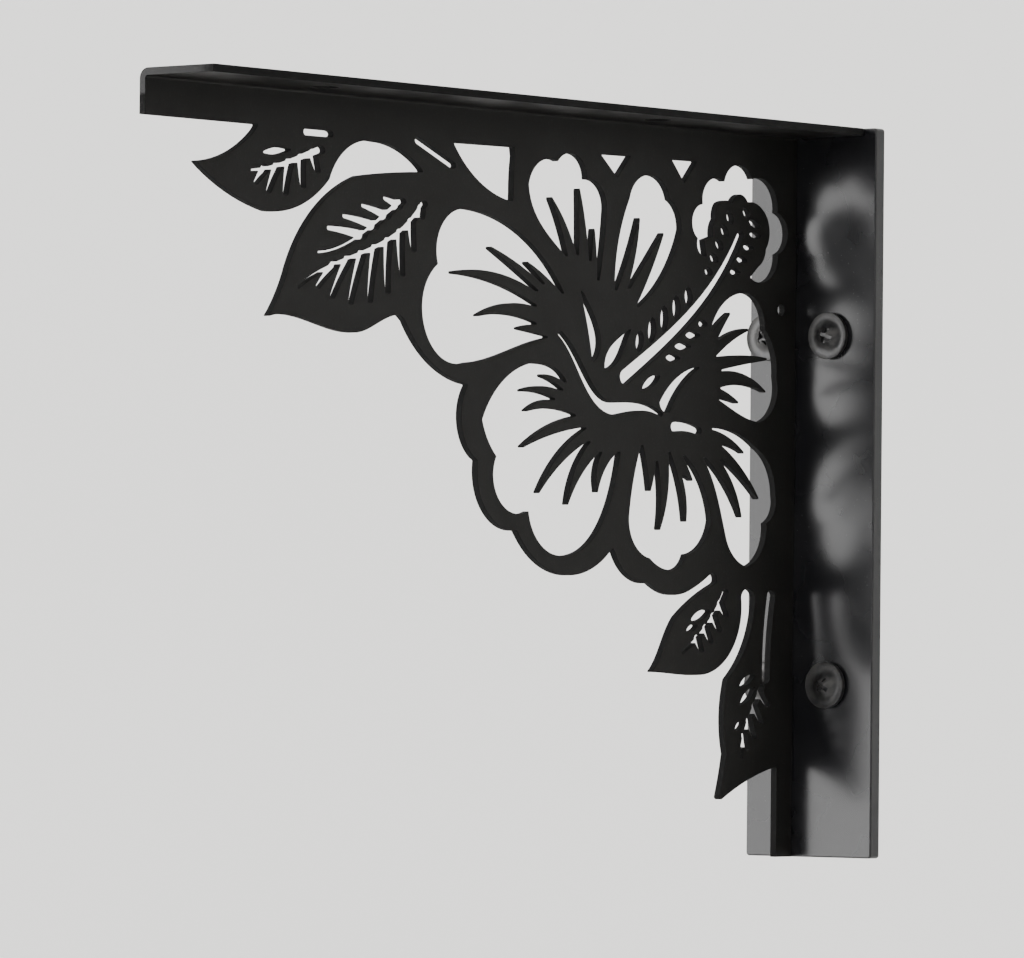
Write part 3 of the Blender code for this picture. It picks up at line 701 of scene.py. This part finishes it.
def folded(point, lift):
    """World place of a point of the unrolled plate in millimetres, and the three directions there."""
    rise = FOLD_START - point.y
    turn = min(max(rise / FOLD_MID, 0.0), math.pi / 2.0)
    run = max(rise - FOLD_LENGTH, 0.0)
    radius = FOLD_MID - lift
    right = PLATE_LEFT + SHEET + FOLD_RADIUS - radius * math.cos(turn) + run
    down = FOLD_START - radius * math.sin(turn) - min(rise, 0.0)
    across = Vector((0.0, -1.0, 0.0))
    downward = Vector((-math.sin(turn), 0.0, -math.cos(turn)))
    through = Vector((math.cos(turn), 0.0, -math.sin(turn)))
    return Vector((right, -point.x, TOP - down)), across, downward, through


def against_wall(point, lift):
    """World place of a point of the flat bar in millimetres, and the three directions there."""
    place = Vector((point.x, lift - BAR_THICKNESS / 2.0, TOP - point.y))
    return place, Vector((1.0, 0.0, 0.0)), Vector((0.0, 0.0, -1.0)), Vector((0.0, 1.0, 0.0))


def make_plate(finish):
    """The pierced plate, rolled over at its top into the ledge."""
    sheet_top = FOLD_START - FOLD_LENGTH - LEDGE_RUN
    hole_down = sheet_top + LEDGE_HOLE_FROM_EDGE
    holes = [round_hole((out, hole_down), LEDGE_HOLE) for out in LEDGE_HOLES_OUT]
    rings = pierced_rings(plate_outline(sheet_top), all_cuts() + holes)
    rings = [blunted(ring, TIP_RADIUS) for ring in rings]
    rows = [FOLD_START - FOLD_LENGTH * row / FOLD_ROWS for row in range(FOLD_ROWS + 1)]
    rings = [with_rows(ring, rows) for ring in rings]
    plate = edged_sheet("pierced_plate", rings, SHEET, PLATE_ARRIS, PLATE_ARRIS_STEPS, folded, rows)
    plate.data.materials.append(finish)
    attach(plate, "root")
    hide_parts("flower_plate")


def screw_places():
    """Place of each screw's axis and name, read from the frame: right, down and node name."""
    places = []
    for name in SCREW_TURNS:
        low, high = (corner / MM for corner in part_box("screw_" + name))
        middle = (low + high) / 2.0
        places.append((middle.x, TOP - middle.z, name))
    return places


def make_bar(finish):
    """The flat bar with its four screw holes."""
    left, right = bar_low.x, bar_high.x
    outline = [Vector(corner) for corner in ((left, 0.0), (right, 0.0), (right, HEIGHT), (left, HEIGHT))]
    holes = [round_hole((across, down), SCREW_HOLE) for across, down, _ in screw_places()]
    rings = [blunted(ring, BAR_CORNER) for ring in pierced_rings(outline, holes)]
    bar = edged_sheet("flat_bar", rings, BAR_THICKNESS, BAR_ARRIS, BAR_ARRIS_STEPS, against_wall)
    bar.data.materials.append(finish)
    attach(bar, "root")
    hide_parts("wall_bar")


def screw_profile():
    """Half section of a screw, from the middle of its crown down its outer side to the shank's end."""
    head_radius = HEAD_DIAMETER / 2.0
    shank_radius = SHANK_DIAMETER / 2.0
    shank_end = -BAR_THICKNESS
    points = bent_side((0.0, HEAD_HEIGHT), (head_radius, HEAD_RIM), *CROWN_BEND)
    points += bent_side((head_radius, HEAD_RIM), (head_radius, UNDERCUT), 6.0)
    points += bent_side((head_radius, UNDERCUT), (head_radius - UNDERCUT, 0.0), -45.0)
    points += [Vector((head_radius - UNDERCUT, 0.0)), Vector((shank_radius, 0.0))]
    points += [Vector((shank_radius, shank_end)), Vector((0.0, shank_end))]
    return points


def evaluated_mesh(source):
    """The mesh that an object's modifiers leave. The object is removed."""
    bpy.context.view_layer.update()
    depsgraph = bpy.context.evaluated_depsgraph_get()
    mesh = bpy.data.meshes.new_from_object(source.evaluated_get(depsgraph))
    bpy.data.objects.remove(source, do_unlink=True)
    return mesh


def recess_blade():
    """One of the two crossed wedges that sink the recess, narrower at its floor."""
    work = bmesh.new()
    bmesh.ops.create_cube(work, size=1.0)
    for corner in work.verts:
        above = corner.co.z > 0.0
        taper = 1.0 if above else RECESS_TAPER
        corner.co.x *= RECESS_LENGTH * taper * MM
        corner.co.y *= RECESS_WIDTH * math.sqrt(taper) * MM
        corner.co.z = (HEAD_HEIGHT + (RECESS_DEPTH if above else -RECESS_DEPTH)) * MM
    mesh = bpy.data.meshes.new("recess_blade")
    work.to_mesh(mesh)
    work.free()
    blade = bpy.data.objects.new("recess_blade", mesh)
    bpy.context.scene.collection.objects.link(blade)
    return blade


def screw_mesh():
    """A pan-head screw, its crown upwards, with a cross recess."""
    profile = bpy.data.meshes.new("screw_profile")
    points = [(point.x * MM, 0.0, point.y * MM) for point in screw_profile()]
    profile.from_pydata(points, [(index, index + 1) for index in range(len(points) - 1)], [])
    turned = bpy.data.objects.new("turned_screw", profile)
    bpy.context.scene.collection.objects.link(turned)
    turning = turned.modifiers.new("turned", "SCREW")
    turning.steps = ROUND_SIDES
    turning.render_steps = ROUND_SIDES
    turning.use_merge_vertices = True
    turning.merge_threshold = MERGE * MM
    blades = [recess_blade(), recess_blade()]
    blades[1].rotation_euler.z = math.pi / 2.0
    for blade in blades:
        cut = turned.modifiers.new("recess", "BOOLEAN")
        cut.operation = "DIFFERENCE"
        cut.solver = "EXACT"
        cut.object = blade
    mesh = evaluated_mesh(turned)
    for blade in blades:
        bpy.data.objects.remove(blade, do_unlink=True)
    mesh.shade_smooth()
    mesh.set_sharp_from_angle(angle=math.radians(SCREW_SHARP))
    return mesh


def make_screws(finish):
    """The four wall screws."""
    mesh = screw_mesh()
    mesh.materials.append(finish)
    for right, down, name in screw_places():
        turned = mesh.copy()
        turn = Euler((math.pi / 2.0, math.radians(SCREW_TURNS[name]), 0.0))
        turned.transform(turn.to_matrix().to_4x4())
        screw = bpy.data.objects.new("wall_screw_" + name, turned)
        bpy.context.scene.collection.objects.link(screw)
        screw.location = Vector((right, -WALL_SIDE, TOP - down)) * MM
        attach(screw, "root")
        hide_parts("screw_" + name)


class Finish:
    """A node material on a Principled shader, built up by short calls."""

    def __init__(self, name, roughness, metallic=0.0, specular=0.5):
        self.material = bpy.data.materials.new(name)
        self.material.use_nodes = True
        self.tree = self.material.node_tree
        self.shader = self.tree.nodes["Principled BSDF"]
        self.shader.inputs["Roughness"].default_value = roughness
        self.shader.inputs["Metallic"].default_value = metallic
        self.shader.inputs["Specular IOR Level"].default_value = specular
        self.place = self.tree.nodes.new("ShaderNodeTexCoord").outputs["Object"]

    def join(self, output, socket):
        """Links an output to a socket."""
        self.tree.links.new(output, socket)

    def noise(self, grain, detail=3.0):
        """Noise whose features are about the given size in millimetres."""
        texture = self.tree.nodes.new("ShaderNodeTexNoise")
        texture.inputs["Scale"].default_value = 1.0 / (grain * MM)
        texture.inputs["Detail"].default_value = detail
        self.join(self.place, texture.inputs["Vector"])
        return texture.outputs["Fac"]

    def ranged(self, output, low, high, start=0.3, end=0.7):
        """An output carried from one range to another."""
        change = self.tree.nodes.new("ShaderNodeMapRange")
        change.interpolation_type = "SMOOTHSTEP"
        for name, value in (("From Min", start), ("From Max", end), ("To Min", low), ("To Max", high)):
            change.inputs[name].default_value = value
        self.join(output, change.inputs["Value"])
        return change.outputs["Result"]

    def mixed(self, share, first, second):
        """A colour between two others, by a share."""
        mix = self.tree.nodes.new("ShaderNodeMix")
        mix.data_type = "RGBA"
        sockets = {socket.identifier: socket for socket in (*mix.inputs, *mix.outputs)}
        self.join(share, sockets["Factor_Float"])
        for name, colour in (("A_Color", first), ("B_Color", second)):
            if isinstance(colour, tuple):
                sockets[name].default_value = (*colour, 1.0)
            else:
                self.join(colour, sockets[name])
        return sockets["Result_Color"]

    def summed(self, first, second, weight=1.0):
        """The first output plus the second times a weight."""
        maths = self.tree.nodes.new("ShaderNodeMath")
        maths.operation = "MULTIPLY_ADD"
        self.join(second, maths.inputs[0])
        maths.inputs[1].default_value = weight
        self.join(first, maths.inputs[2])
        return maths.outputs["Value"]

    def multiplied(self, first, second):
        """The product of two shares."""
        maths = self.tree.nodes.new("ShaderNodeMath")
        maths.operation = "MULTIPLY"
        self.join(first, maths.inputs[0])
        self.join(second, maths.inputs[1])
        return maths.outputs["Value"]

    def bumped(self, height, depth):
        """Bumps of the given depth in millimetres."""
        bump = self.tree.nodes.new("ShaderNodeBump")
        bump.inputs["Strength"].default_value = 1.0
        bump.inputs["Distance"].default_value = depth * MM
        self.join(height, bump.inputs["Height"])
        self.join(bump.outputs["Normal"], self.shader.inputs["Normal"])

    def front(self):
        """One on the plate's front end and nothing behind it."""
        split = self.tree.nodes.new("ShaderNodeSeparateXYZ")
        self.join(self.place, split.inputs["Vector"])
        return self.ranged(split.outputs["Y"], 1.0, 0.0, -DEPTH * MM, (FRONT_END - DEPTH) * MM)

    def attribute(self, name):
        """A value kept on the mesh."""
        reader = self.tree.nodes.new("ShaderNodeAttribute")
        reader.attribute_name = name
        return reader.outputs["Fac"]


def powder_coat():
    """Satin black powder coat, finely grained, duller on the cut edges and smoother on the front end; the
    slightly darker colour on the cut edges is painted shade.
    """
    finish = Finish("powder_coat", 0.5, specular=0.1)
    grain = finish.noise(COAT_GRAIN, 4.0)
    cloud = finish.noise(COAT_CLOUD, 3.0)
    edge = finish.attribute("cut_edge")
    tone = finish.mixed(finish.ranged(cloud, 0.0, 1.0), *COAT_TONES)
    tone = finish.mixed(finish.ranged(grain, 0.0, 1.0, 0.55, 0.75), tone, COAT_SPECK)
    # Painted shade: the cut walls take a darker colour than the faces
    tone = finish.mixed(edge, tone, COAT_PAINTED_EDGE_SHADE)
    finish.join(tone, finish.shader.inputs["Base Color"])
    rough = finish.ranged(cloud, *COAT_ROUGHNESS)
    rough = finish.summed(rough, edge, EDGE_ROUGHER)
    rough = finish.summed(rough, finish.multiplied(finish.front(), edge), -FRONT_SMOOTHER)
    finish.join(rough, finish.shader.inputs["Roughness"])
    finish.bumped(finish.summed(grain, finish.noise(COAT_RIPPLE, 2.0), 1.5), COAT_BUMP)
    return finish.material


def gloss_paint():
    """Semi-gloss black paint, with a slight pull and dust under it."""
    finish = Finish("gloss_paint", 0.22, specular=0.26)
    cloud = finish.noise(PAINT_CLOUD, 3.0)
    dust = finish.noise(PAINT_DUST, 3.0)
    tone = finish.mixed(finish.ranged(cloud, 0.0, 1.0), *PAINT_TONES)
    finish.join(tone, finish.shader.inputs["Base Color"])
    rough = finish.ranged(cloud, *PAINT_ROUGHNESS)
    rough = finish.summed(rough, finish.ranged(dust, 0.0, 1.0, 0.6, 0.8), DUST_ROUGHER)
    finish.join(rough, finish.shader.inputs["Roughness"])
    ripple = finish.noise(PAINT_RIPPLE, 2.0)
    finish.bumped(finish.summed(finish.noise(PAINT_PULL, 1.0), ripple, 0.1), PAINT_BUMP)
    return finish.material


def black_oxide():
    """Satin black screw finish with a trace of metal."""
    finish = Finish("black_oxide", 0.38, metallic=0.5, specular=0.5)
    cloud = finish.noise(OXIDE_CLOUD, 4.0)
    tone = finish.mixed(finish.ranged(cloud, 0.0, 1.0), *OXIDE_TONES)
    finish.join(tone, finish.shader.inputs["Base Color"])
    finish.join(finish.ranged(cloud, *OXIDE_ROUGHNESS), finish.shader.inputs["Roughness"])
    finish.bumped(finish.noise(OXIDE_GRAIN, 3.0), OXIDE_BUMP)
    return finish.material


def make_studio():
    """A wide pale floor that rises in a smooth curve all round, far from the bracket."""
    cove_out = STUDIO_RADIUS - STUDIO_COVE
    cove_up = STUDIO_COVE - FLOOR_DROP
    profile = [(0.0, -FLOOR_DROP), (cove_out, -FLOOR_DROP)]
    for step in range(1, COVE_STEPS + 1):
        angle = math.pi / 2.0 * step / COVE_STEPS
        out = cove_out + STUDIO_COVE * math.sin(angle)
        profile.append((out, cove_up - STUDIO_COVE * math.cos(angle)))
    profile.append((STUDIO_RADIUS, STUDIO_TOP))
    work = bmesh.new()
    corners = [work.verts.new((out, 0.0, up)) for out, up in profile]
    edges = [work.edges.new(pair) for pair in zip(corners, corners[1:])]
    bmesh.ops.spin(work, geom=corners + edges, cent=(0.0, 0.0, 0.0), axis=(0.0, 0.0, 1.0),
                   angle=2.0 * math.pi, steps=STUDIO_SIDES, use_duplicate=False)
    bmesh.ops.remove_doubles(work, verts=work.verts, dist=STUDIO_MERGE)
    bmesh.ops.recalc_face_normals(work, faces=work.faces)
    mesh = bpy.data.meshes.new("studio_floor")
    work.to_mesh(mesh)
    work.free()
    mesh.shade_smooth()
    floor = bpy.data.objects.new("studio_floor", mesh)
    bpy.context.scene.collection.objects.link(floor)
    finish = Finish("studio_paper", 0.9, specular=0.2)
    tone = finish.mixed(finish.ranged(finish.noise(PAPER_CLOUD, 2.0), 0.0, 1.0), *PAPER_TONES)
    finish.join(tone, finish.shader.inputs["Base Color"])
    finish.shader.inputs["Emission Color"].default_value = (*PAPER_GLOW_COLOUR, 1.0)
    finish.shader.inputs["Emission Strength"].default_value = PAPER_GLOW
    mesh.materials.append(finish.material)


def make_world():
    """Soft pale light from all round."""
    world = bpy.data.worlds.new("studio_light")
    world.use_nodes = True
    background = world.node_tree.nodes["Background"]
    background.inputs["Color"].default_value = (*WORLD_COLOUR, 1.0)
    background.inputs["Strength"].default_value = WORLD_STRENGTH
    bpy.context.scene.world = world


def add_softbox(name, direction, distance, size, radiance):
    """A square soft light, facing the bracket, that the camera doesn't see."""
    light = bpy.data.lights.new(name, "AREA")
    light.shape = "SQUARE"
    light.size = size
    light.energy = radiance * math.pi * size ** 2
    softbox = bpy.data.objects.new(name, light)
    bpy.context.scene.collection.objects.link(softbox)
    towards = Vector(direction).normalized()
    softbox.location = LOOK_AT + towards * distance
    softbox.rotation_euler = towards.to_track_quat("Z", "Y").to_euler()
    softbox.visible_camera = False


def make_camera():
    """The camera where the photograph was taken from, with a longer lens and turned to the bracket."""
    camera_data = bpy.data.cameras.new("camera")
    camera = bpy.data.objects.new("camera", camera_data)
    bpy.context.scene.collection.objects.link(camera)
    camera_data.lens = LENS
    camera_data.clip_start = NEAREST_SEEN
    camera_data.clip_end = FARTHEST_SEEN
    ahead = (LOOK_AT - VIEWPOINT).normalized()
    level = ahead.cross(Vector((0.0, 0.0, 1.0))).normalized()
    above = level.cross(ahead)
    roll = math.radians(ROLL)
    right = level * math.cos(roll) + above * math.sin(roll)
    up = above * math.cos(roll) - level * math.sin(roll)
    facing = Matrix((right, up, -ahead)).transposed().to_4x4()
    camera.matrix_world = Matrix.Translation(VIEWPOINT) @ facing
    bpy.context.scene.camera = camera


make_camera()
make_plate(powder_coat())
make_bar(gloss_paint())
make_screws(black_oxide())
make_studio()
make_world()
for light_name, light_values in SOFTBOXES.items():
    add_softbox(light_name, *light_values)
